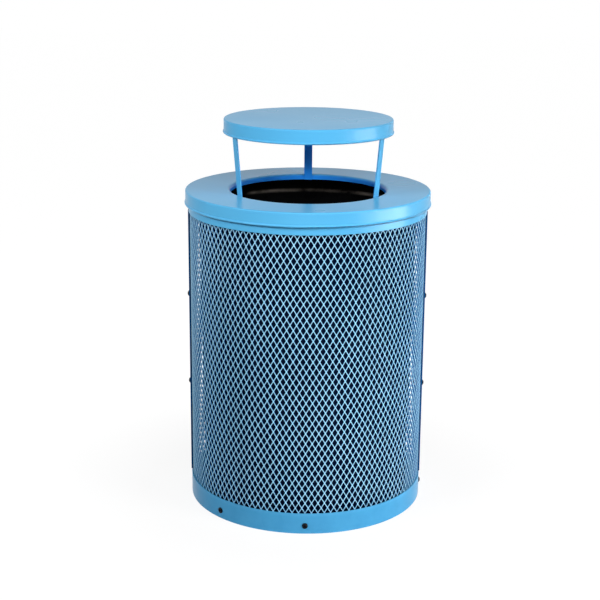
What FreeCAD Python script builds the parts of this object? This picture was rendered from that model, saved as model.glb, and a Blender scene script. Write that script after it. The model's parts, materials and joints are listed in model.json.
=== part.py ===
import FreeCAD, Part
import math
import os
import Sketcher

# Outdoor litter can: an expanded-metal body between two hoops, a bolted base pan, a plastic liner,
# and a loose lid that carries a rain canopy on three legs.
# Millimetres, +Z up, origin on the floor at the middle of the can, front towards -Y.
# A turn is in degrees about +Z, counted from +X. Every piece is drawn at turn 0 and placed by its turn.

FRONT = -90.0
REAR = 90.0
RIGHT = 0.0
LEFT = 180.0
BASE_BOLT_TURNS = (FRONT, FRONT - 45.0, REAR + 45.0, REAR, RIGHT)
LEG_TURNS = {"rear_leg": REAR, "right_leg": REAR - 120.0, "left_leg": REAR + 120.0}
DRAINS = 4
FLAT_COUNT = 4

SIZES = {
    # hoops
    "hoop_radius": 286.0,
    "hoop_thickness": 2.5,
    "hoop_height": 50.0,
    "body_height": 765.0,
    "fit_gap": 0.2,
    # expanded metal
    "mesh_thickness": 2.5,
    "diamond_width": 49.5,
    "diamond_height": 84.0,
    "strand_width": 9.2,
    "mesh_top_lap": 38.0,
    "mesh_bottom_lap": 12.0,
    "seam_gap": 10.0,
    # bars over and behind the seams
    "bar_width": 30.0,
    "bar_thickness": 4.0,
    "bar_edge": 0.8,
    "backing_top_gap": 6.0,
    "backing_bottom_gap": 3.0,
    "upper_bolt_height": 504.0,
    "lower_bolt_height": 280.0,
    # fasteners
    "bolt_radius": 4.0,
    "bolt_play": 0.5,
    "bolt_end": 2.0,
    "head_radius": 7.0,
    "head_height": 4.2,
    "head_shoulder": 1.5,
    "head_flat": 3.6,
    "socket_width": 5.0,
    "socket_depth": 2.4,
    "nut_width": 13.0,
    "nut_height": 6.5,
    "thread_play": 0.1,
    "washer_radius": 8.0,
    "washer_thickness": 1.6,
    # base pan
    "pan_thickness": 2.0,
    "pan_rise": 6.0,
    "pan_depth": 30.0,
    "pan_bend": 5.0,
    "base_bolt_height": 20.0,
    "anchor_radius": 7.0,
    "drain_radius": 5.0,
    "drain_circle": 150.0,
    # liner
    "liner_wall": 3.0,
    "liner_seat": 0.3,
    "liner_side_gap": 14.0,
    "liner_rim_out": 10.0,
    "liner_taper": 11.0,
    "liner_rim_lip": 16.0,
    "liner_drop": 10.0,
    "liner_dish_margin": 51.0,
    "liner_dish_rise": 20.0,
    "liner_dish_slope": 10.0,
    "liner_round": 8.0,
    "liner_rim_round": 2.4,
    # lid
    "sheet": 2.0,
    "lid_seat": 0.3,
    "lid_side_gap": 5.5,
    "skirt_height": 34.0,
    "corner_round": 3.5,
    "bead_radius": 3.0,
    "bead_inset": 1.0,
    "throat_radius": 185.0,
    "throat_round": 9.5,
    "collar_depth": 12.5,
    # canopy and its legs
    "canopy_radius": 201.0,
    "canopy_rise": 168.5,
    "leg_width": 20.0,
    "leg_thickness": 3.0,
}

doc = FreeCAD.newDocument("LitterCan")
sheet = doc.addObject("Spreadsheet::Sheet", "Sizes")
for row, (alias, value) in enumerate(SIZES.items(), start=1):
    sheet.set(f"A{row}", alias)
    sheet.set(f"B{row}", str(value))
    sheet.setAlias(f"B{row}", alias)
doc.recompute()


class Length:
    """A size with its value, for drawing, and its formula on the sheet, for binding."""

    def __init__(self, value, formula):
        self.value = value
        self.formula = formula

    def __add__(self, other):
        return Length(self.value + other.value, f"({self.formula} + {other.formula})")

    def __sub__(self, other):
        return Length(self.value - other.value, f"({self.formula} - {other.formula})")

    def __mul__(self, number):
        return Length(self.value * number, f"({self.formula} * {number})")

    def chord(self, half_width):
        """How far out a flat face of this half width lies when its edges touch a circle of this radius."""
        value = math.sqrt(self.value ** 2 - half_width.value ** 2)
        return Length(value, f"sqrt({self.formula} ^ 2 - {half_width.formula} ^ 2)")

    def inset(self, other, strand):
        """This half diagonal of a diamond, once strands of that width lie along its sides."""
        slope = math.hypot(self.value, other.value) / other.value
        value = self.value - strand.value * slope / 2
        rise = f"sqrt({self.formula} ^ 2 + {other.formula} ^ 2) / {other.formula}"
        return Length(value, f"({self.formula} - {strand.formula} * {rise} / 2)")


def size(alias):
    return Length(float(sheet.get(alias)), f"Sizes.{alias}")


ZERO = Length(0.0, "0")

# Radii and heights that several pieces share
hoop_radius = size("hoop_radius")
hoop_inside = hoop_radius - size("hoop_thickness")
hoop_height = size("hoop_height")
body_height = size("body_height")
top_hoop_foot = body_height - hoop_height
mesh_outside = hoop_inside - size("fit_gap")
mesh_inside = mesh_outside - size("mesh_thickness")
mesh_strips = round(math.pi * mesh_outside.value / size("diamond_width").value * 2 / FLAT_COUNT)
seam_turn = math.degrees(math.asin(size("seam_gap").value / 2 / mesh_outside.value))
strip_turn = (180.0 - 2 * seam_turn) / mesh_strips
flat_turn = strip_turn / FLAT_COUNT
flats_inside = mesh_inside * math.cos(math.radians(flat_turn / 2))
half_bar = size("bar_width") * 0.5
bar_outside = hoop_inside + size("bar_thickness")
backing_outside = flats_inside.chord(half_bar) - size("fit_gap")
backing_inside = backing_outside - size("bar_thickness")
pan_top = size("pan_rise") + size("pan_thickness")
pan_rim = size("pan_rise") + size("pan_depth")
pan_outside = hoop_inside - size("fit_gap")
pan_inside = pan_outside - size("pan_thickness")
sheet_metal = size("sheet")
liner_top = body_height - size("liner_drop")
liner_rim = hoop_radius - size("liner_side_gap")
liner_mouth = liner_rim - size("liner_rim_out")
liner_bottom = liner_mouth - size("liner_taper")
lid_outside = hoop_radius + size("lid_side_gap") + sheet_metal
lid_underside = body_height + size("lid_seat")
lid_top = lid_underside + sheet_metal
canopy_top = lid_top + size("canopy_rise")
hole_radius = size("bolt_radius") + size("bolt_play")
cut_reach = hoop_radius + hoop_height


def bind(thing, name, length):
    thing.setExpression(name, length.formula)


def new_body(name, turn=0.0):
    body = doc.addObject("PartDesign::Body", name)
    body.Label = name
    body.Placement = FreeCAD.Placement(FreeCAD.Vector(), FreeCAD.Rotation(FreeCAD.Vector(0, 0, 1), turn))
    return body


def new_sketch(body, name, plane, turn=0.0):
    """A sketch on one of the body's origin planes, turned about the plane's own upright."""
    sketch = body.newObject("Sketcher::SketchObject", f"{body.Label}_{name}")
    planes = {feature.Role: feature for feature in body.Origin.OriginFeatures}
    sketch.AttachmentSupport = [(planes[plane], "")]
    sketch.MapMode = "FlatFace"
    upright = FreeCAD.Rotation(FreeCAD.Vector(0, 1, 0), turn)
    sketch.AttachmentOffset = FreeCAD.Placement(FreeCAD.Vector(), upright)
    return sketch


def pin_point(sketch, geometry, end, across, up):
    """Ties a point of the sketch to its place, measured from the sketch's origin."""
    for kind, length, axis in (("DistanceX", across, -2), ("DistanceY", up, -1)):
        if length is ZERO:
            sketch.addConstraint(Sketcher.Constraint("PointOnObject", geometry, end, axis))
        else:
            rule = sketch.addConstraint(Sketcher.Constraint(kind, -1, 1, geometry, end, length.value))
            bind(sketch, f"Constraints[{rule}]", length)


def draw_outline(sketch, corners):
    """Straight lines round corners given as (across, up)."""
    points = [FreeCAD.Vector(across.value, up.value, 0) for across, up in corners]
    ends = points[1:] + points[:1]
    lines = [sketch.addGeometry(Part.LineSegment(a, b), False) for a, b in zip(points, ends)]
    for line, following in zip(lines, lines[1:] + lines[:1]):
        sketch.addConstraint(Sketcher.Constraint("Coincident", line, 2, following, 1))
    for line, (across, up) in zip(lines, corners):
        pin_point(sketch, line, 1, across, up)


def draw_circle(sketch, across, up, radius):
    centre = FreeCAD.Vector(across.value, up.value, 0)
    circle = sketch.addGeometry(Part.Circle(centre, FreeCAD.Vector(0, 0, 1), radius.value), False)
    pin_point(sketch, circle, 3, across, up)
    rule = sketch.addConstraint(Sketcher.Constraint("Radius", circle, radius.value))
    bind(sketch, f"Constraints[{rule}]", radius)


def draw_hexagon(sketch, width):
    """A hexagon about the sketch's origin, measured across its flats."""
    corner_radius = width * (1 / math.sqrt(3))
    corners = []
    for step in range(6):
        angle = math.radians(60 * step + 30)
        corners.append((corner_radius * math.cos(angle), corner_radius * math.sin(angle)))
    draw_outline(sketch, corners)


def rectangle(low, high):
    """Corners from (across, up) to (across, up)."""
    return [low, (high[0], low[1]), high, (low[0], high[1])]


def revolve(body, name, sketch):
    feature = body.newObject("PartDesign::Revolution", f"{body.Label}_{name}")
    feature.Profile = sketch
    feature.ReferenceAxis = (sketch, ["V_Axis"])
    feature.Angle = 360.0
    doc.recompute()
    return feature


def pad(body, name, sketch, length, both_ways=False):
    feature = body.newObject("PartDesign::Pad", f"{body.Label}_{name}")
    feature.Profile = sketch
    feature.SideType = "Symmetric" if both_ways else "One side"
    bind(feature, "Length", length)
    doc.recompute()
    return feature


def pocket(body, name, sketch, depth, along_normal=True):
    """Cuts the sketch out of the body, and stops if it cut nothing."""
    before = body.Shape.Volume
    feature = body.newObject("PartDesign::Pocket", f"{body.Label}_{name}")
    feature.Profile = sketch
    feature.Reversed = along_normal
    bind(feature, "Length", depth)
    doc.recompute()
    if body.Shape.Volume >= before:
        raise ValueError(f"{feature.Label} cuts nothing")
    return feature


def round_edges(body, name, radius, chosen):
    """Rounds the edges that the test picks out."""
    doc.recompute()
    base = body.Tip
    names = [f"Edge{number}" for number, edge in enumerate(base.Shape.Edges, start=1) if chosen(edge)]
    feature = body.newObject("PartDesign::Fillet", f"{body.Label}_{name}")
    feature.Base = (base, names)
    bind(feature, "Radius", radius)
    body.Tip = feature
    doc.recompute()
    return feature


def hoop_edge(*places):
    """A test for circular edges about Z at any of the given (radius, height) places."""

    def chosen(edge):
        if not isinstance(edge.Curve, Part.Circle):
            return False
        radius = edge.Curve.Radius
        height = edge.Curve.Center.z
        near = [abs(radius - r.value) + abs(height - z.value) < 0.01 for r, z in places]
        return any(near)

    return chosen


def upright_edge(edge):
    """A test for straight edges along Z."""
    return isinstance(edge.Curve, Part.Line) and abs(edge.Curve.Direction.z) > 0.999


def radial_holes(body, turns, heights, radius):
    """Round holes through the wall, pointing out from the axis."""
    for number, turn in enumerate(turns):
        for level, height in enumerate(heights):
            sketch = new_sketch(body, f"hole_{number}_{level}", "YZ_Plane", turn)
            draw_circle(sketch, ZERO, height, radius)
            pocket(body, f"drill_{number}_{level}", sketch, cut_reach)


# Hoops

def make_hoop(name, foot, bolt_turns):
    body = new_body(name)
    sketch = new_sketch(body, "section", "XZ_Plane")
    draw_outline(sketch, rectangle((hoop_inside, foot), (hoop_radius, foot + hoop_height)))
    revolve(body, "ring", sketch)
    radial_holes(body, bolt_turns, [size("base_bolt_height")], hole_radius)
    return body


# Expanded metal

def strip_corner(radius, turn):
    """Where a line between two flats stands, as (across, up) on the floor plan."""
    angle = math.radians(turn)
    up = radius * math.sin(angle) if turn else ZERO
    return radius * math.cos(angle), up


def diamond_lane(body, name, turn, centres, half_width, half_height):
    """Cuts one column of diamond openings."""
    sketch = new_sketch(body, name, "YZ_Plane", turn)
    for up in centres:
        tips = [(half_width, up), (half_width * -1, up)]
        draw_outline(sketch, [(ZERO, up + half_height), tips[0], (ZERO, up - half_height), tips[1]])
    pocket(body, f"{name}_cut", sketch, cut_reach)


def make_mesh_strip():
    """A strip of expanded metal in narrow flats. Each opening spans two flats, and every other column stands half
    a diamond higher. The strip's edges run down the middle of a column, and the next strip has its other half."""
    foot = hoop_height - size("mesh_bottom_lap")
    height = top_hoop_foot + size("mesh_top_lap") - foot
    shown = top_hoop_foot - hoop_height
    rows = round(shown.value / size("diamond_height").value)
    row_height = shown * (1 / rows)
    steps = range(-FLAT_COUNT // 2, FLAT_COUNT // 2 + 1)
    turns = [flat_turn * step for step in steps]

    body = new_body("mesh_strip")
    plan = new_sketch(body, "plan", "XY_Plane")
    corners = [strip_corner(mesh_outside, turn) for turn in turns]
    corners += [strip_corner(mesh_inside, turn) for turn in reversed(turns)]
    draw_outline(plan, corners)
    plan.setExpression("AttachmentOffset.Base.z", foot.formula)
    pad(body, "sheet", plan, height)

    wide = mesh_outside * math.sin(math.radians(flat_turn))
    tall = row_height * 0.5
    half_width = wide.inset(tall, size("strand_width"))
    half_height = tall.inset(wide, size("strand_width"))
    middles = [hoop_height + row_height * (row + 0.5) for row in range(rows)]
    ends = [hoop_height + row_height * row for row in range(rows + 1)]
    for number, (step, turn) in enumerate(zip(steps, turns)):
        centres = ends if step % 2 else middles
        diamond_lane(body, f"lane_{number}", turn, centres, half_width, half_height)
    return body


def make_mesh_panel(name, strip, middle):
    """Half a shell of strips that meet at the bonds between the diamonds."""
    first = middle - strip_turn * (mesh_strips - 1) / 2
    return make_group(name, strip, [first + strip_turn * number for number in range(mesh_strips)], [ZERO])


# Bars over and behind the seams

def make_bar(name, turn, inside, outside, foot, head):
    body = new_body(name, turn)
    sketch = new_sketch(body, "side", "XZ_Plane")
    draw_outline(sketch, rectangle((inside, foot), (outside, head)))
    pad(body, "bar", sketch, size("bar_width"), both_ways=True)
    round_edges(body, "edges", size("bar_edge"), upright_edge)
    radial_holes(body, [0.0], [size("upper_bolt_height"), size("lower_bolt_height")], hole_radius)
    return body


# Fasteners, drawn along +X from the face that the head or the washer sits on

def make_bolt(name, seat, nut_seat):
    """A button-head bolt with a hexagon socket, long enough to pass its nut."""
    tip = nut_seat - size("washer_thickness") - size("nut_height") - size("bolt_end")
    crown = seat + size("head_height")
    body = new_body(name)
    sketch = new_sketch(body, "section", "XY_Plane")
    shoulder = seat + size("head_shoulder")
    corners = [(tip, ZERO), (tip, size("bolt_radius")), (seat, size("bolt_radius")), (seat, size("head_radius"))]
    corners += [(shoulder, size("head_radius")), (crown, size("head_flat")), (crown, ZERO)]
    draw_outline(sketch, corners)
    feature = revolve(body, "turned", sketch)
    feature.ReferenceAxis = (sketch, ["H_Axis"])
    doc.recompute()
    socket = new_sketch(body, "socket", "YZ_Plane")
    draw_hexagon(socket, size("socket_width"))
    socket.setExpression("AttachmentOffset.Base.z", (crown - size("socket_depth")).formula)
    pocket(body, "socket_cut", socket, size("socket_depth") * 2)
    return body


def make_ring(name, outer_edge, foot, thickness):
    """A nut or washer: an outline with a bore, from foot inwards along X."""
    body = new_body(name)
    sketch = new_sketch(body, "face", "YZ_Plane")
    outer_edge(sketch)
    draw_circle(sketch, ZERO, ZERO, size("bolt_radius") + size("thread_play"))
    sketch.setExpression("AttachmentOffset.Base.z", (foot - thickness).formula)
    pad(body, "ring", sketch, thickness)
    return body


def make_group(name, master, turns, heights):
    """Turned and raised copies of one solid, as separate solids of one piece."""
    copies = []
    for turn in turns:
        for height in heights:
            copy = master.Shape.copy()
            copy.translate(FreeCAD.Vector(0, 0, height.value))
            copy.rotate(FreeCAD.Vector(), FreeCAD.Vector(0, 0, 1), turn)
            copies.append(copy)
    group = doc.addObject("Part::Feature", name)
    group.Label = name
    group.Shape = Part.makeCompound(copies)
    group.Placement = FreeCAD.Placement()
    return group


def make_fasteners(prefix, seat, inside, turns, heights):
    """Bolts, washers and nuts for one set of holes. inside is where the washer lies."""
    nut_foot = inside - size("washer_thickness")
    bolt = make_bolt(f"{prefix}_bolt_master", seat, inside)
    washer = make_ring(
        f"{prefix}_washer_master",
        lambda sketch: draw_circle(sketch, ZERO, ZERO, size("washer_radius")),
        inside,
        size("washer_thickness"),
    )
    nut = make_ring(
        f"{prefix}_nut_master",
        lambda sketch: draw_hexagon(sketch, size("nut_width")),
        nut_foot,
        size("nut_height"),
    )
    masters = {"bolts": bolt, "washers": washer, "nuts": nut}
    return [make_group(f"{prefix}_{kind}", master, turns, heights) for kind, master in masters.items()]


# Base pan

def make_base_pan():
    """A dished floor with an upturned rim, drained, with one anchor hole at its middle."""
    body = new_body("base_pan")
    foot = size("pan_rise")
    sketch = new_sketch(body, "section", "XZ_Plane")
    corners = [(size("anchor_radius"), foot), (pan_outside, foot), (pan_outside, pan_rim)]
    corners += [(pan_inside, pan_rim), (pan_inside, pan_top), (size("anchor_radius"), pan_top)]
    draw_outline(sketch, corners)
    revolve(body, "dish", sketch)
    outer_bend = size("pan_bend") + size("pan_thickness")
    round_edges(body, "outer_bend", outer_bend, hoop_edge((pan_outside, foot)))
    round_edges(body, "inner_bend", size("pan_bend"), hoop_edge((pan_inside, pan_top)))
    drain = new_sketch(body, "drain", "XY_Plane")
    draw_circle(drain, size("drain_circle"), ZERO, size("drain_radius"))
    hole = pocket(body, "drain_cut", drain, pan_top * 2)
    pattern = body.newObject("PartDesign::PolarPattern", "base_pan_drains")
    pattern.Originals = [hole]
    pattern.Axis = (drain, ["N_Axis"])
    pattern.Angle = 360.0
    pattern.Occurrences = DRAINS
    body.Tip = pattern
    doc.recompute()
    radial_holes(body, BASE_BOLT_TURNS, [size("base_bolt_height")], hole_radius)
    return body


# Liner

def make_liner():
    """A tapered bucket with a dished floor and a rim that turns out and down."""
    wall = size("liner_wall")
    foot = pan_top + size("liner_seat")
    dish = liner_bottom - size("liner_dish_margin")
    ring = dish + size("liner_dish_slope")
    rise = size("liner_dish_rise")
    lip_foot = liner_top - size("liner_rim_lip")
    body = new_body("liner")
    sketch = new_sketch(body, "section", "XZ_Plane")
    corners = [(ZERO, foot + rise), (dish, foot + rise), (ring, foot), (liner_bottom, foot)]
    corners += [(liner_mouth, liner_top - wall), (liner_rim - wall, liner_top - wall)]
    corners += [(liner_rim - wall, lip_foot), (liner_rim, lip_foot), (liner_rim, liner_top)]
    corners += [(liner_mouth - wall, liner_top), (liner_bottom - wall, foot + wall), (ring, foot + wall)]
    corners += [(dish, foot + rise + wall), (ZERO, foot + rise + wall)]
    draw_outline(sketch, corners)
    revolve(body, "bucket", sketch)
    heel_inside = hoop_edge((liner_bottom - wall, foot + wall))
    rim_edges = hoop_edge((liner_rim, liner_top), (liner_mouth - wall, liner_top))
    round_edges(body, "heel", size("liner_round"), hoop_edge((liner_bottom, foot)))
    round_edges(body, "heel_inside", size("liner_round") - wall, heel_inside)
    round_edges(body, "rim_round", size("liner_rim_round"), rim_edges)
    return body


# Lid and canopy

def add_bead(body, skirt_radius, foot):
    """The rolled edge along the bottom of a skirt."""
    radius = size("bead_radius")
    sketch = new_sketch(body, "bead", "XZ_Plane")
    draw_circle(sketch, skirt_radius - size("bead_inset"), foot + radius, radius)
    revolve(body, "bead_ring", sketch)


def make_lid():
    """A spun ring: a flat top, a skirt with a bead outside, and a turned-down collar round the throat."""
    skirt_foot = lid_top - size("skirt_height")
    bead_middle = skirt_foot + size("bead_radius")
    throat = size("throat_radius")
    collar_foot = lid_top - size("collar_depth")
    body = new_body("lid")
    sketch = new_sketch(body, "section", "XZ_Plane")
    corners = [(throat, collar_foot), (throat, lid_top), (lid_outside, lid_top)]
    corners += [(lid_outside, bead_middle), (lid_outside - sheet_metal, bead_middle)]
    corners += [(lid_outside - sheet_metal, lid_underside), (throat + sheet_metal, lid_underside)]
    corners += [(throat + sheet_metal, collar_foot)]
    draw_outline(sketch, corners)
    revolve(body, "shell", sketch)
    rim_inside = hoop_edge((lid_outside - sheet_metal, lid_underside))
    throat_inside = hoop_edge((throat + sheet_metal, lid_underside))
    round_edges(body, "rim_round", size("corner_round"), hoop_edge((lid_outside, lid_top)))
    round_edges(body, "rim_round_inside", size("corner_round") - sheet_metal, rim_inside)
    round_edges(body, "throat_round", size("throat_round"), hoop_edge((throat, lid_top)))
    round_edges(body, "throat_round_inside", size("throat_round") - sheet_metal, throat_inside)
    add_bead(body, lid_outside, skirt_foot)
    return body


def make_canopy():
    """A flat disc with a skirt and a bead."""
    outside = size("canopy_radius")
    foot = canopy_top - size("skirt_height")
    bead_middle = foot + size("bead_radius")
    underside = canopy_top - sheet_metal
    body = new_body("canopy")
    sketch = new_sketch(body, "section", "XZ_Plane")
    corners = [(ZERO, underside), (outside - sheet_metal, underside)]
    corners += [(outside - sheet_metal, bead_middle), (outside, bead_middle)]
    corners += [(outside, canopy_top), (ZERO, canopy_top)]
    draw_outline(sketch, corners)
    revolve(body, "shell", sketch)
    round_edges(body, "outer_round", size("corner_round"), hoop_edge((outside, canopy_top)))
    inner = hoop_edge((outside - sheet_metal, underside))
    round_edges(body, "inner_round", size("corner_round") - sheet_metal, inner)
    add_bead(body, outside, foot)
    return body


def make_leg(name, turn):
    """A flat bar from inside the throat collar to the underside of the canopy, against the bead of its skirt, with an
    upright tab at each end."""
    half_width = size("leg_width") * 0.5
    foot_face = size("throat_radius").chord(half_width)
    bead_inside = size("canopy_radius") - size("bead_inset") - size("bead_radius")
    head_face = bead_inside.chord(half_width)
    thickness = size("leg_thickness")
    foot = lid_top - size("collar_depth")
    head = canopy_top - sheet_metal
    knee = lid_top
    neck = canopy_top - size("skirt_height")
    body = new_body(name, turn)
    sketch = new_sketch(body, "side", "XZ_Plane")
    corners = [(foot_face, foot), (foot_face, knee), (head_face, neck), (head_face, head)]
    corners += [(head_face - thickness, head), (head_face - thickness, neck)]
    corners += [(foot_face - thickness, knee), (foot_face - thickness, foot)]
    draw_outline(sketch, corners)
    pad(body, "bar", sketch, size("leg_width"), both_ways=True)
    return body


# The whole can

seam_bolt_heights = [size("upper_bolt_height"), size("lower_bolt_height")]
backing_foot = pan_rim + size("backing_bottom_gap")
backing_head = body_height - size("backing_top_gap")
washer_face = pan_inside.chord(size("washer_radius"))
mesh_strip = make_mesh_strip()

pieces = [
    make_hoop("bottom_hoop", ZERO, BASE_BOLT_TURNS),
    make_hoop("top_hoop", top_hoop_foot, []),
    make_mesh_panel("front_mesh_panel", mesh_strip, FRONT),
    make_mesh_panel("rear_mesh_panel", mesh_strip, REAR),
    make_base_pan(),
    make_liner(),
    make_lid(),
    make_canopy(),
]
pieces += [make_leg(name, turn) for name, turn in LEG_TURNS.items()]
for side, turn in (("right", RIGHT), ("left", LEFT)):
    pieces.append(make_bar(f"{side}_seam_bar", turn, hoop_inside, bar_outside, hoop_height, top_hoop_foot))
    pieces.append(
        make_bar(f"{side}_backing_bar", turn, backing_inside, backing_outside, backing_foot, backing_head)
    )
pieces += make_fasteners("seam", bar_outside, backing_inside, (RIGHT, LEFT), seam_bolt_heights)
pieces += make_fasteners("base", hoop_radius, washer_face, BASE_BOLT_TURNS, [size("base_bolt_height")])

doc.recompute()
for thing in doc.Objects:
    if "Invalid" in thing.State or "Error" in thing.State:
        raise ValueError(f"{thing.Label} failed: {thing.State}")
for piece in pieces:
    if piece.Shape.isNull() or not piece.Shape.isValid():
        raise ValueError(f"{piece.Label} has no valid shape")

os.makedirs("parts", exist_ok=True)
for piece in pieces:
    piece.Shape.exportStep(f"parts/{piece.Label}.step")
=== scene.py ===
import json
import math

import bpy
from mathutils import Matrix, Vector


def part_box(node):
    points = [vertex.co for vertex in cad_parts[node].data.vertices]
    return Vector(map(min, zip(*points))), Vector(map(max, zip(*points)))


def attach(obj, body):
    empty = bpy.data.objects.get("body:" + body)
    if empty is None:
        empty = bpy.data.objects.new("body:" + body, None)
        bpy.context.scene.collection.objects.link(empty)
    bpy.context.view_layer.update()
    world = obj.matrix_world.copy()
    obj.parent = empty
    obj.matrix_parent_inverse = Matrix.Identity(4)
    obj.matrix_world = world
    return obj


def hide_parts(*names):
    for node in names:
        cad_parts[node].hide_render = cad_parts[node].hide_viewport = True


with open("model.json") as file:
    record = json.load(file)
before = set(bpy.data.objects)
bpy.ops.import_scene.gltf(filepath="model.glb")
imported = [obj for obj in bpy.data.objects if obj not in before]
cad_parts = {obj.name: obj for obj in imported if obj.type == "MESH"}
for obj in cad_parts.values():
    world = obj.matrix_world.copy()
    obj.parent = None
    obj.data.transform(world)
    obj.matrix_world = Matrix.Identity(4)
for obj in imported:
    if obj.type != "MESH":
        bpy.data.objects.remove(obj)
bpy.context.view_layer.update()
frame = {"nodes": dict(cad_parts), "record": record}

# Outdoor litter can in blue powder coat. Metres, +Z up, front towards -Y.

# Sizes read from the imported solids
PANEL_LOW, PANEL_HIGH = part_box("front_mesh_panel")
MESH_OUTSIDE = -PANEL_LOW.y
LEG_LOW, LEG_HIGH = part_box("rear_leg")
LEG_THICKNESS = 0.003
LEG_LEAN = LEG_HIGH.y - LEG_LOW.y - LEG_THICKNESS
THROAT_RADIUS = LEG_LOW.y + LEG_THICKNESS
LID_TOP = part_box("lid")[1].z
CANOPY_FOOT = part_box("canopy")[0].z

# Expanded metal
SHEET_THICKNESS = 0.0023
COLUMNS = 58
ROWS = 29
STRAND_WIDTH = 0.0020
CORNER_CUT = 0.0011
EDGE_ROUND = 0.00045
STRAND_TILT = math.radians(2)
MERGE_DISTANCE = 0.00002
SMOOTH_ANGLE = math.radians(35)


# Small helpers for work in edit mode

def leave_edit_mode():
    if bpy.context.object and bpy.context.object.mode != "OBJECT":
        bpy.ops.object.mode_set(mode="OBJECT")
    bpy.ops.object.select_all(action="DESELECT")


def make_active(piece):
    leave_edit_mode()
    piece.select_set(True)
    bpy.context.view_layer.objects.active = piece


def select_edges(piece, chosen):
    """In edit mode, leaves selected only the edges whose two ends pass the test."""
    bpy.ops.mesh.select_mode(type="EDGE")
    bpy.ops.mesh.select_all(action="DESELECT")
    bpy.ops.object.mode_set(mode="OBJECT")
    vertices = piece.data.vertices
    for edge in piece.data.edges:
        ends = [vertices[index].co for index in edge.vertices]
        edge.select = all(chosen(end) for end in ends)
    bpy.ops.object.mode_set(mode="EDIT")


def apply_modifier(piece, kind, settings):
    modifier = piece.modifiers.new(kind.title(), kind)
    for name, value in settings.items():
        setattr(modifier, name, value)
    make_active(piece)
    bpy.ops.object.modifier_apply(modifier=modifier.name)


# Expanded metal: one diamond, repeated into a flat sheet, trimmed, and rolled to the can's radius

def diamond_ring(half_width, half_height, depth):
    """Adds the four-cornered outline of a diamond to the mesh in edit mode."""
    middle = (0, 0, depth)
    bpy.ops.mesh.primitive_circle_add(vertices=4, radius=1.0, fill_type="NOTHING", location=middle)
    bpy.ops.transform.resize(value=(half_width, half_height, 1), center_override=middle)


def model_diamond(cell_width, cell_height):
    """One diamond of the sheet, flat on XY with its outer face up: a ring round a tilted opening, its back,
    the wall between them, and a rounded front edge."""
    half_width = cell_width / 2
    half_height = cell_height / 2
    slope = math.hypot(half_width, half_height)
    shrink = 1 - STRAND_WIDTH / 2 * slope / (half_width * half_height)

    leave_edit_mode()
    bpy.ops.mesh.primitive_circle_add(vertices=4, radius=1.0, fill_type="NGON")
    piece = bpy.context.object
    bpy.ops.object.mode_set(mode="EDIT")
    bpy.ops.mesh.select_all(action="SELECT")
    opening = (half_width * shrink, half_height * shrink, 1)
    bpy.ops.transform.resize(value=opening, center_override=(0, 0, 0))
    bpy.ops.mesh.bevel(offset=CORNER_CUT, affect="VERTICES", segments=1)
    bpy.ops.mesh.delete(type="ONLY_FACE")
    bpy.ops.mesh.select_all(action="SELECT")
    bpy.ops.transform.rotate(value=STRAND_TILT, orient_axis="Y", center_override=(0, 0, 0))
    bpy.ops.mesh.select_all(action="DESELECT")
    diamond_ring(half_width, half_height, 0)
    bpy.ops.mesh.select_all(action="SELECT")
    bpy.ops.mesh.bridge_edge_loops()

    bpy.ops.mesh.select_all(action="SELECT")
    bpy.ops.mesh.duplicate_move(TRANSFORM_OT_translate={"value": (0, 0, -SHEET_THICKNESS)})
    bpy.ops.mesh.flip_normals()

    inside = half_width * half_height * (1 + shrink) / 2

    def on_opening(point):
        return abs(point.x) * half_height + abs(point.y) * half_width < inside

    def on_front_opening(point):
        return on_opening(point) and point.z > point.x * math.tan(STRAND_TILT) - SHEET_THICKNESS / 2

    select_edges(piece, on_opening)
    bpy.ops.mesh.bridge_edge_loops()
    select_edges(piece, on_front_opening)
    bpy.ops.mesh.bevel(offset=EDGE_ROUND, segments=1, affect="EDGES")
    return piece


def repeat_diamond(piece, cell_width, cell_height):
    """Fills a flat sheet: a second diamond half a pitch along and up, then both repeated across and up."""
    make_active(piece)
    bpy.ops.object.mode_set(mode="EDIT")
    bpy.ops.mesh.select_all(action="SELECT")
    step = (cell_width / 2, cell_height / 2, 0)
    bpy.ops.mesh.duplicate_move(TRANSFORM_OT_translate={"value": step})
    bpy.ops.mesh.select_all(action="SELECT")
    bpy.ops.mesh.remove_doubles(threshold=MERGE_DISTANCE)
    leave_edit_mode()
    for count, offset in ((COLUMNS + 2, (cell_width, 0, 0)), (ROWS + 2, (0, cell_height, 0))):
        apply_modifier(piece, "ARRAY", {
            "count": count,
            "use_relative_offset": False,
            "use_constant_offset": True,
            "constant_offset_displace": offset,
            "use_merge_vertices": True,
            "merge_threshold": MERGE_DISTANCE,
        })


def trim_sheet(piece, width, height, start):
    """Shears the sheet to its size and closes the cut edges. The sheet's lower left corner is at start."""
    make_active(piece)
    bpy.ops.object.mode_set(mode="EDIT")
    bpy.ops.mesh.select_all(action="SELECT")
    bpy.ops.mesh.remove_doubles(threshold=MERGE_DISTANCE)
    cuts = (
        ((start.x, 0, 0), (-1, 0, 0)),
        ((start.x + width, 0, 0), (1, 0, 0)),
        ((0, start.y, 0), (0, -1, 0)),
        ((0, start.y + height, 0), (0, 1, 0)),
    )
    for place, direction in cuts:
        bpy.ops.mesh.select_all(action="SELECT")
        bpy.ops.mesh.bisect(plane_co=place, plane_no=direction, use_fill=True, clear_outer=True)
    bpy.ops.mesh.select_all(action="SELECT")
    bpy.ops.mesh.normals_make_consistent(inside=False)
    leave_edit_mode()


def apply_place(piece, move):
    """Moves the mesh itself, so that the object stays at the origin."""
    piece.data.transform(move)
    piece.data.update()


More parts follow.
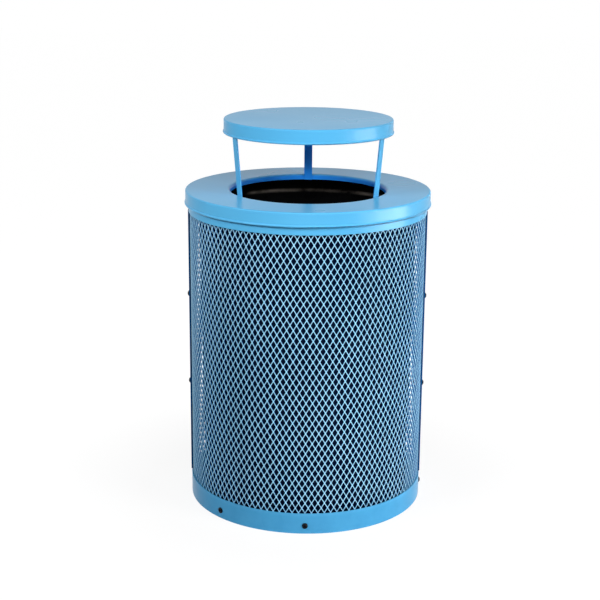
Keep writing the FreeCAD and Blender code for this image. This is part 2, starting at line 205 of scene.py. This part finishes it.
def mark_facing(piece):
    """Stores on each face how squarely it faces outwards, for the painted shade on the walls of the
    openings.
    """
    facing = piece.data.attributes.new("facing", "FLOAT", "FACE")
    for face in piece.data.polygons:
        outwards = Vector((face.center.x, face.center.y, 0)).normalized()
        facing.data[face.index].value = face.normal.dot(outwards)


def make_mesh_panel(name):
    """The front half of the mesh, rolled to the can's radius."""
    outer_arc = 2 * math.asin(min(1, (PANEL_HIGH.x - PANEL_LOW.x) / 2 / MESH_OUTSIDE))
    radius = MESH_OUTSIDE - SHEET_THICKNESS / 4
    width = outer_arc * radius
    height = PANEL_HIGH.z - PANEL_LOW.z
    cell_width = width / COLUMNS
    cell_height = height / ROWS
    piece = model_diamond(cell_width, cell_height)
    repeat_diamond(piece, cell_width, cell_height)
    trim_sheet(piece, width, height, Vector((cell_width / 2, cell_height / 2, 0)))
    piece.name = name
    apply_place(piece, Matrix.Translation((-(width + cell_width) / 2, -cell_height / 2, 0)))
    apply_place(piece, Matrix.Rotation(math.pi / 2, 4, "X"))
    bend = {"deform_method": "BEND", "deform_axis": "Z", "angle": outer_arc}
    apply_modifier(piece, "SIMPLE_DEFORM", bend)
    apply_place(piece, Matrix.Translation((0, -radius, PANEL_LOW.z)))
    make_active(piece)
    bpy.ops.object.shade_smooth_by_angle(angle=SMOOTH_ANGLE)
    mark_facing(piece)
    return piece


def turned_copy(piece, name, turn):
    twin = piece.copy()
    twin.data = piece.data.copy()
    twin.name = name
    bpy.context.collection.objects.link(twin)
    apply_place(twin, Matrix.Rotation(turn, 4, "Z"))
    return twin


front_mesh = make_mesh_panel("front_expanded_mesh")
rear_mesh = turned_copy(front_mesh, "rear_expanded_mesh", math.pi)
for mesh_piece, panel in ((front_mesh, "front_mesh_panel"), (rear_mesh, "rear_mesh_panel")):
    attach(mesh_piece, "can")
    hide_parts(panel)


# Materials

# The part of a noise's range that it mostly keeps to
NOISE_LOW = 0.3
NOISE_HIGH = 0.7


class Nodes:
    """Adds and joins the nodes of one material."""

    def __init__(self, name):
        self.material = bpy.data.materials.new(name)
        self.material.use_nodes = True
        self.tree = self.material.node_tree
        self.shader = self.tree.nodes["Principled BSDF"]
        self.place = self.add("ShaderNodeTexCoord").outputs["Object"]

    def add(self, kind, **settings):
        node = self.tree.nodes.new(kind)
        for name, value in settings.items():
            setattr(node, name, value)
        return node

    def join(self, source, target):
        self.tree.links.new(source, target)

    def noise(self, scale, detail=3.0, roughness=0.5):
        node = self.add("ShaderNodeTexNoise")
        node.inputs["Scale"].default_value = scale
        node.inputs["Detail"].default_value = detail
        node.inputs["Roughness"].default_value = roughness
        self.join(self.place, node.inputs["Vector"])
        return node.outputs["Fac"]

    def spread(self, value, low, high, to_low=0.0, to_high=1.0):
        """Stretches low..high of a value to to_low..to_high."""
        node = self.add("ShaderNodeMapRange")
        self.join(value, node.inputs["Value"])
        ends = {"From Min": low, "From Max": high, "To Min": to_low, "To Max": to_high}
        for socket, number in ends.items():
            node.inputs[socket].default_value = number
        return node.outputs["Result"]

    def blend(self, amount, first, second):
        """Mixes two colours. Either may be a colour or a socket."""
        node = self.add("ShaderNodeMix", data_type="RGBA")
        self.join(amount, node.inputs["Factor"])
        for socket, colour in ((node.inputs[6], first), (node.inputs[7], second)):
            if isinstance(colour, tuple):
                socket.default_value = (*colour, 1.0)
            else:
                self.join(colour, socket)
        return node.outputs[2]

    def maths(self, operation, first, second):
        node = self.add("ShaderNodeMath", operation=operation)
        for socket, value in zip(node.inputs, (first, second)):
            if isinstance(value, float):
                socket.default_value = value
            else:
                self.join(value, socket)
        return node.outputs["Value"]

    def times(self, first, second):
        return self.maths("MULTIPLY", first, second)

    def plus(self, first, second):
        return self.maths("ADD", first, second)

    def height(self):
        """The height above the floor."""
        node = self.add("ShaderNodeSeparateXYZ")
        self.join(self.place, node.inputs["Vector"])
        return node.outputs["Z"]

    def reach(self):
        """The distance from the can's axis."""
        flat = self.add("ShaderNodeVectorMath", operation="MULTIPLY")
        flat.inputs[1].default_value = (1, 1, 0)
        self.join(self.place, flat.inputs[0])
        length = self.add("ShaderNodeVectorMath", operation="LENGTH")
        self.join(flat.outputs["Vector"], length.inputs[0])
        return length.outputs["Value"]

    def stored(self, name):
        """A value stored on the mesh."""
        return self.add("ShaderNodeAttribute", attribute_name=name).outputs["Fac"]

    def bump(self, value, depth, strength=1.0):
        node = self.add("ShaderNodeBump")
        node.inputs["Strength"].default_value = strength
        node.inputs["Distance"].default_value = depth
        self.join(value, node.inputs["Height"])
        self.join(node.outputs["Normal"], self.shader.inputs["Normal"])

    def colour(self, value):
        self.join(value, self.shader.inputs["Base Color"])

    def roughness(self, value, smoothest, roughest):
        """Roughness that wanders with a noise."""
        wander = self.spread(value, NOISE_LOW, NOISE_HIGH, smoothest, roughest)
        self.join(wander, self.shader.inputs["Roughness"])

    def set(self, **values):
        """Puts constants on the shader. An underscore in a name stands for a space."""
        for name, value in values.items():
            self.shader.inputs[name.replace("_", " ")].default_value = value


# Colours. Each coat runs from its first to its last colour.
PLAIN_BLUES = ((0.076, 0.370, 0.645), (0.092, 0.403, 0.682), (0.125, 0.455, 0.725))
# The mesh coat is the blue paint made paler, partly painted highlight for the light its strands catch
MESH_PAINT_AND_HIGHLIGHT_BLUES = ((0.285, 0.580, 0.795), (0.340, 0.630, 0.840), (0.410, 0.670, 0.860))
# Painted shade for the wall of the lid's throat and the inner faces of the legs
THROAT_AND_LEG_PAINTED_SHADE = (0.020, 0.260, 0.850)
# Painted shade on the walls of the mesh openings
MESH_WALL_PAINTED_SHADE = (0.003, 0.080, 0.270)
# Painted shade: the coat darkens in patches towards the bottom, where less light reaches
LOW_PAINTED_SHADE = (0.030, 0.210, 0.430)
# Painted shade: the seam bars are coloured dark blue for the shade they sit in
SEAM_BAR_PAINTED_SHADE_BLUES = ((0.002, 0.050, 0.160), (0.004, 0.075, 0.215))
LINER_BLACKS = ((0.0012, 0.0013, 0.0016), (0.003, 0.003, 0.0034))
# Painted reflected light: a navy tint on the liner's outside for the blue light the mesh throws on it
LINER_PAINTED_BLUE_BOUNCE = (0.0003, 0.0045, 0.020)
# Painted highlight: a lighter ring round the liner's inside near the rim
LINER_PAINTED_HIGHLIGHT = (0.200, 0.175, 0.150)
BOLT_BLACKS = ((0.002, 0.003, 0.006), (0.014, 0.016, 0.022))
ZINCS = ((0.42, 0.43, 0.45), (0.60, 0.60, 0.61))
FLOOR_GREY = (0.60, 0.60, 0.60, 1.0)

# Places on the pieces where a colour changes
# Heights of the painted shade low down
LOW_SHADE_FULL = 0.04
LOW_SHADE_END = 0.07
THROAT_EDGE_START = 0.001
THROAT_EDGE_END = 0.006
LEG_FACE_SHARE = 0.8
LEG_FACE_BLUR = 0.0004
# Where the liner's painted highlight ring sits, and where its inside begins
PAINTED_HIGHLIGHT_HEIGHT = 0.714
PAINTED_HIGHLIGHT_HALF_WIDTH = 0.006
LINER_INSIDE_REACH = 0.2597
LINER_INSIDE_BLUR = 0.0005
LINER_TAPER = 0.0106


# The walls of the mesh openings get painted shade
def mesh_walls(m):
    """1 on the walls of the mesh openings, 0 on the faces that look outwards."""
    return m.spread(m.stored("facing"), 0.2, 0.8, 1.0, 0.0)


def throat_wall(m):
    """1 on the wall of the throat collar, running out to 0 over its rounded edge."""
    start = THROAT_RADIUS + THROAT_EDGE_START
    end = THROAT_RADIUS + THROAT_EDGE_END
    return m.spread(m.reach(), start, end, 1.0, 0.0)


def leg_inside(m):
    """1 on the face of a leg that looks to the can's axis."""
    lean = m.spread(m.height(), LID_TOP, CANOPY_FOOT, 0.0, -LEG_LEAN)
    edge = THROAT_RADIUS - LEG_FACE_SHARE * LEG_THICKNESS
    return m.spread(m.plus(m.reach(), lean), edge, edge + LEG_FACE_BLUR, 1.0, 0.0)


def blue_powder_coat(name, deep, body, pale, shine, shade_colour=None, shaded_faces=None):
    """Glossy powder coat: faint drifts of colour, fine fleck, uneven gloss, and painted shade in patches
    low down.
    The shade colour, where given, is painted shade on the faces that the light hardly reaches."""
    m = Nodes(name)
    drift = m.spread(m.noise(scale=3.0, detail=4.0), 0.35, 0.65)
    colour = m.blend(drift, deep, body)
    fleck = m.spread(m.noise(scale=500.0, detail=2.0), 0.50, 0.75, 0.0, 0.1)
    colour = m.blend(fleck, colour, pale)
    # Painted shade on the faces that the light hardly reaches
    if shade_colour:
        colour = m.blend(shaded_faces(m), colour, shade_colour)
    # Painted shade: darker in patches towards the bottom, where less light reaches
    low = m.spread(m.height(), LOW_SHADE_FULL, LOW_SHADE_END, 1.0, 0.0)
    patchy = m.spread(m.noise(scale=14.0, detail=6.0, roughness=0.65), 0.35, 0.70, 0.4, 0.6)
    m.colour(m.blend(m.times(low, patchy), colour, LOW_PAINTED_SHADE))
    m.roughness(m.noise(scale=8.0, detail=1.0), 0.27, 0.30)
    m.set(Coat_Weight=shine / 4, Coat_Roughness=0.15, Specular_IOR_Level=shine)
    return m.material


def seam_bar_painted_shade_coat():
    """Coat of the seam bars, painted dark blue as shade, a little chalky along its ridges."""
    m = Nodes("seam_bar_painted_shade_coat")
    chalk = m.spread(m.noise(scale=60.0, detail=5.0, roughness=0.6), 0.45, 0.75, 0.0, 0.5)
    m.colour(m.blend(chalk, *SEAM_BAR_PAINTED_SHADE_BLUES))
    m.roughness(m.noise(scale=45.0, detail=5.0, roughness=0.6), 0.30, 0.45)
    m.set(Specular_IOR_Level=0.03)
    m.bump(m.noise(scale=700.0, detail=2.0), depth=0.00005, strength=0.3)
    return m.material


def black_liner_plastic():
    """Moulded black plastic with fine grain and wall ripple, a navy tint outside that is painted blue light
    from the mesh, and a painted highlight ring round the inside near the rim."""
    m = Nodes("black_liner_plastic")
    grain = m.spread(m.noise(scale=300.0, detail=3.0), 0.4, 0.7)
    wall = m.plus(m.reach(), m.spread(m.height(), 0.0, PAINTED_HIGHLIGHT_HEIGHT, LINER_TAPER, 0.0))
    inside = m.spread(wall, LINER_INSIDE_REACH, LINER_INSIDE_REACH + LINER_INSIDE_BLUR, 1.0, 0.0)
    # Painted reflected light: the outside of the liner gets a navy tint from the mesh
    body = m.blend(inside, LINER_PAINTED_BLUE_BOUNCE, m.blend(grain, *LINER_BLACKS))
    # Painted highlight: a broken lighter ring round the inside near the rim
    above = m.spread(m.height(), PAINTED_HIGHLIGHT_HEIGHT - PAINTED_HIGHLIGHT_HALF_WIDTH, PAINTED_HIGHLIGHT_HEIGHT)
    below = m.spread(m.height(), PAINTED_HIGHLIGHT_HEIGHT, PAINTED_HIGHLIGHT_HEIGHT + PAINTED_HIGHLIGHT_HALF_WIDTH, 1.0, 0.0)
    broken = m.spread(m.noise(scale=9.0, detail=5.0, roughness=0.6), 0.42, 0.66)
    painted_highlight = m.times(m.times(m.times(above, below), inside), broken)
    m.colour(m.blend(painted_highlight, body, LINER_PAINTED_HIGHLIGHT))
    m.roughness(m.noise(scale=24.0, detail=5.0), 0.24, 0.34)
    m.join(m.times(inside, 0.05), m.shader.inputs["Specular IOR Level"])
    m.bump(m.noise(scale=9.0, detail=2.0), depth=0.004, strength=0.25)
    return m.material


def black_oxide():
    """Blackened bolt heads, worn a little brighter in places."""
    m = Nodes("black_oxide")
    rub = m.spread(m.noise(scale=190.0, detail=4.0), 0.5, 0.75, 0.0, 0.6)
    m.colour(m.blend(rub, *BOLT_BLACKS))
    m.roughness(m.noise(scale=260.0, detail=3.0), 0.26, 0.4)
    m.set(Specular_IOR_Level=0.06)
    m.bump(m.noise(scale=900.0, detail=2.0), depth=0.00006, strength=0.4)
    return m.material


def zinc_plate():
    """Zinc plated washers and nuts with a cloudy spangle."""
    m = Nodes("zinc_plate")
    cloud = m.spread(m.noise(scale=220.0, detail=4.0), 0.35, 0.65)
    m.colour(m.blend(cloud, *ZINCS))
    m.roughness(m.noise(scale=120.0, detail=4.0), 0.28, 0.48)
    m.set(Metallic=1.0)
    m.bump(m.noise(scale=700.0, detail=2.0), depth=0.00005, strength=0.3)
    return m.material


FINISHES = {
    "blue_paint": blue_powder_coat("blue_powder_coat", *PLAIN_BLUES, shine=0.07),
    "navy_paint": seam_bar_painted_shade_coat(),
    "black_plastic": black_liner_plastic(),
    "black_steel": black_oxide(),
    "zinc_steel": zinc_plate(),
}


def give_material(piece, material):
    piece.data.materials.clear()
    piece.data.materials.append(material)


for part in frame["record"]["subparts"]:
    give_material(frame["nodes"][part["node"]], FINISHES[part["material_slot"]])
# The lid's throat wall and the legs' inner faces get painted shade
lid_coat = blue_powder_coat(
    "blue_lid_coat", *PLAIN_BLUES, shine=0.09, shade_colour=THROAT_AND_LEG_PAINTED_SHADE, shaded_faces=throat_wall)
give_material(frame["nodes"]["lid"], lid_coat)
leg_coat = blue_powder_coat(
    "blue_leg_coat", *PLAIN_BLUES, shine=0.06, shade_colour=THROAT_AND_LEG_PAINTED_SHADE, shaded_faces=leg_inside)
for leg in ("left_leg", "right_leg", "rear_leg"):
    give_material(frame["nodes"][leg], leg_coat)
# The mesh's outward faces are paler, partly painted highlight; the walls of its openings get painted shade
mesh_coat = blue_powder_coat(
    "blue_mesh_coat", *MESH_PAINT_AND_HIGHLIGHT_BLUES, shine=0.01, shade_colour=MESH_WALL_PAINTED_SHADE, shaded_faces=mesh_walls)
for piece in (front_mesh, rear_mesh):
    give_material(piece, mesh_coat)


# Studio: pale floor, white surround, soft lamps

FLOOR_SIZE = 30.0
FLOOR_WHITE = 1.1
FLOOR_WHITE_SHARE = 0.9
SHADOW_WHITE_SHARE = 0.8
SHADOW_NEAR = 0.40
SHADOW_FAR = 0.75
ROOM_LIGHT = 0.08
BODY_AIM = (0, 0, 0.80)


def seen_as_backdrop(tree):
    """1 for rays on which the floor and the surround count as the white background."""
    path = tree.nodes.new("ShaderNodeLightPath")
    seen = path.outputs["Is Camera Ray"]
    for kind in ("Is Glossy Ray", "Is Transmission Ray"):
        either = tree.nodes.new("ShaderNodeMath")
        either.operation = "MAXIMUM"
        tree.links.new(seen, either.inputs[0])
        tree.links.new(path.outputs[kind], either.inputs[1])
        seen = either.outputs["Value"]
    return seen


def make_floor():
    """A pale floor that the camera sees as white, less so near the can, where its shadow shows."""
    leave_edit_mode()
    bpy.ops.mesh.primitive_plane_add(size=FLOOR_SIZE, location=(0, 0, 0))
    floor = bpy.context.object
    floor.name = "studio_floor"
    m = Nodes("pale_floor")
    m.set(Base_Color=FLOOR_GREY, Roughness=0.9, Specular_IOR_Level=0.1)
    white = m.add("ShaderNodeEmission")
    white.inputs["Strength"].default_value = FLOOR_WHITE
    white_share = m.spread(m.reach(), SHADOW_NEAR, SHADOW_FAR, SHADOW_WHITE_SHARE, FLOOR_WHITE_SHARE)
    share = m.times(seen_as_backdrop(m.tree), white_share)
    mix = m.add("ShaderNodeMixShader")
    m.join(share, mix.inputs["Fac"])
    m.join(m.shader.outputs["BSDF"], mix.inputs[1])
    m.join(white.outputs["Emission"], mix.inputs[2])
    output = m.tree.nodes["Material Output"]
    m.join(mix.outputs["Shader"], output.inputs["Surface"])
    give_material(floor, m.material)


def make_surround():
    """A dim white room that the camera and the gloss see as plain white."""
    world = bpy.data.worlds.new("studio")
    bpy.context.scene.world = world
    world.use_nodes = True
    tree = world.node_tree
    lit = tree.nodes["Background"]
    lit.inputs["Color"].default_value = (1, 1, 1, 1)
    lit.inputs["Strength"].default_value = ROOM_LIGHT
    white = tree.nodes.new("ShaderNodeBackground")
    white.inputs["Color"].default_value = (1, 1, 1, 1)
    white.inputs["Strength"].default_value = 1.0
    mix = tree.nodes.new("ShaderNodeMixShader")
    tree.links.new(seen_as_backdrop(tree), mix.inputs["Fac"])
    tree.links.new(lit.outputs["Background"], mix.inputs[1])
    tree.links.new(white.outputs["Background"], mix.inputs[2])
    tree.links.new(mix.outputs["Shader"], tree.nodes["World Output"].inputs["Surface"])


def make_lamp(name, place, aim, width, height, watts, spread):
    """A soft box. A narrow spread keeps its light near its aim."""
    lamp = bpy.data.lights.new(name, "AREA")
    lamp.spread = math.radians(spread)
    lamp.shape = "RECTANGLE"
    lamp.size = width
    lamp.size_y = height
    lamp.energy = watts
    holder = bpy.data.objects.new(name, lamp)
    bpy.context.collection.objects.link(holder)
    holder.visible_camera = False
    holder.location = place
    holder.rotation_euler = (Vector(aim) - Vector(place)).to_track_quat("-Z", "Y").to_euler()
    return holder


make_floor()
make_surround()
make_lamp(
    "front_soft_box", (0.45, -2.5, 1.95), BODY_AIM, width=1.8, height=0.35, watts=15, spread=105)
make_lamp(
    "left_fill", (-1.9, -1.5, 1.95), BODY_AIM, width=1.2, height=0.35, watts=13, spread=100)
make_lamp(
    "right_fill", (1.9, -1.4, 1.95), BODY_AIM, width=1.2, height=0.35, watts=12.5, spread=100)
make_lamp(
    "right_low_fill", (1.7, -1.2, 0.45), (0.2, 0, 0.25), width=0.6, height=0.4, watts=2, spread=45)
back_fill = make_lamp(
    "back_fill", (0.4, 2.8, 0.4), (0, 0, 0.4), width=1.6, height=0.5, watts=10, spread=100)
back_fill.visible_glossy = False
right_sheen = make_lamp(
    "right_sheen", (1.8, -0.4, 0.5), (0, 0, 0.7), width=1.2, height=0.6, watts=37, spread=150)
right_sheen.visible_diffuse = False


# Camera at the photograph's viewing angle

CAMERA_PLACE = Vector((0, -3.2114, 1.3719))
CAMERA_PITCH = 0.2683
CAMERA_YAW = -0.0053
CAMERA_ROLL = -0.0080
CAMERA_LENS = 81.56
CAMERA_SENSOR = 36.0


def make_camera():
    """Builds the camera's axes from its pitch, yaw and roll."""
    camera = bpy.data.objects.new("camera", bpy.data.cameras.new("camera"))
    bpy.context.collection.objects.link(camera)
    level = math.cos(CAMERA_PITCH)
    sideways = math.sin(CAMERA_YAW) * level
    ahead = math.cos(CAMERA_YAW) * level
    forward = Vector((sideways, ahead, -math.sin(CAMERA_PITCH)))
    right = Vector((math.cos(CAMERA_YAW), -math.sin(CAMERA_YAW), 0))
    down = forward.cross(right)
    across = right * math.cos(CAMERA_ROLL) + down * math.sin(CAMERA_ROLL)
    up = right * math.sin(CAMERA_ROLL) - down * math.cos(CAMERA_ROLL)
    turn = Matrix((across, up, -forward)).transposed()
    camera.matrix_world = Matrix.Translation(CAMERA_PLACE) @ turn.to_4x4()
    camera.data.sensor_width = CAMERA_SENSOR
    camera.data.lens = CAMERA_LENS
    bpy.context.scene.camera = camera


make_camera()
bpy.context.scene.view_settings.view_transform = "Standard"
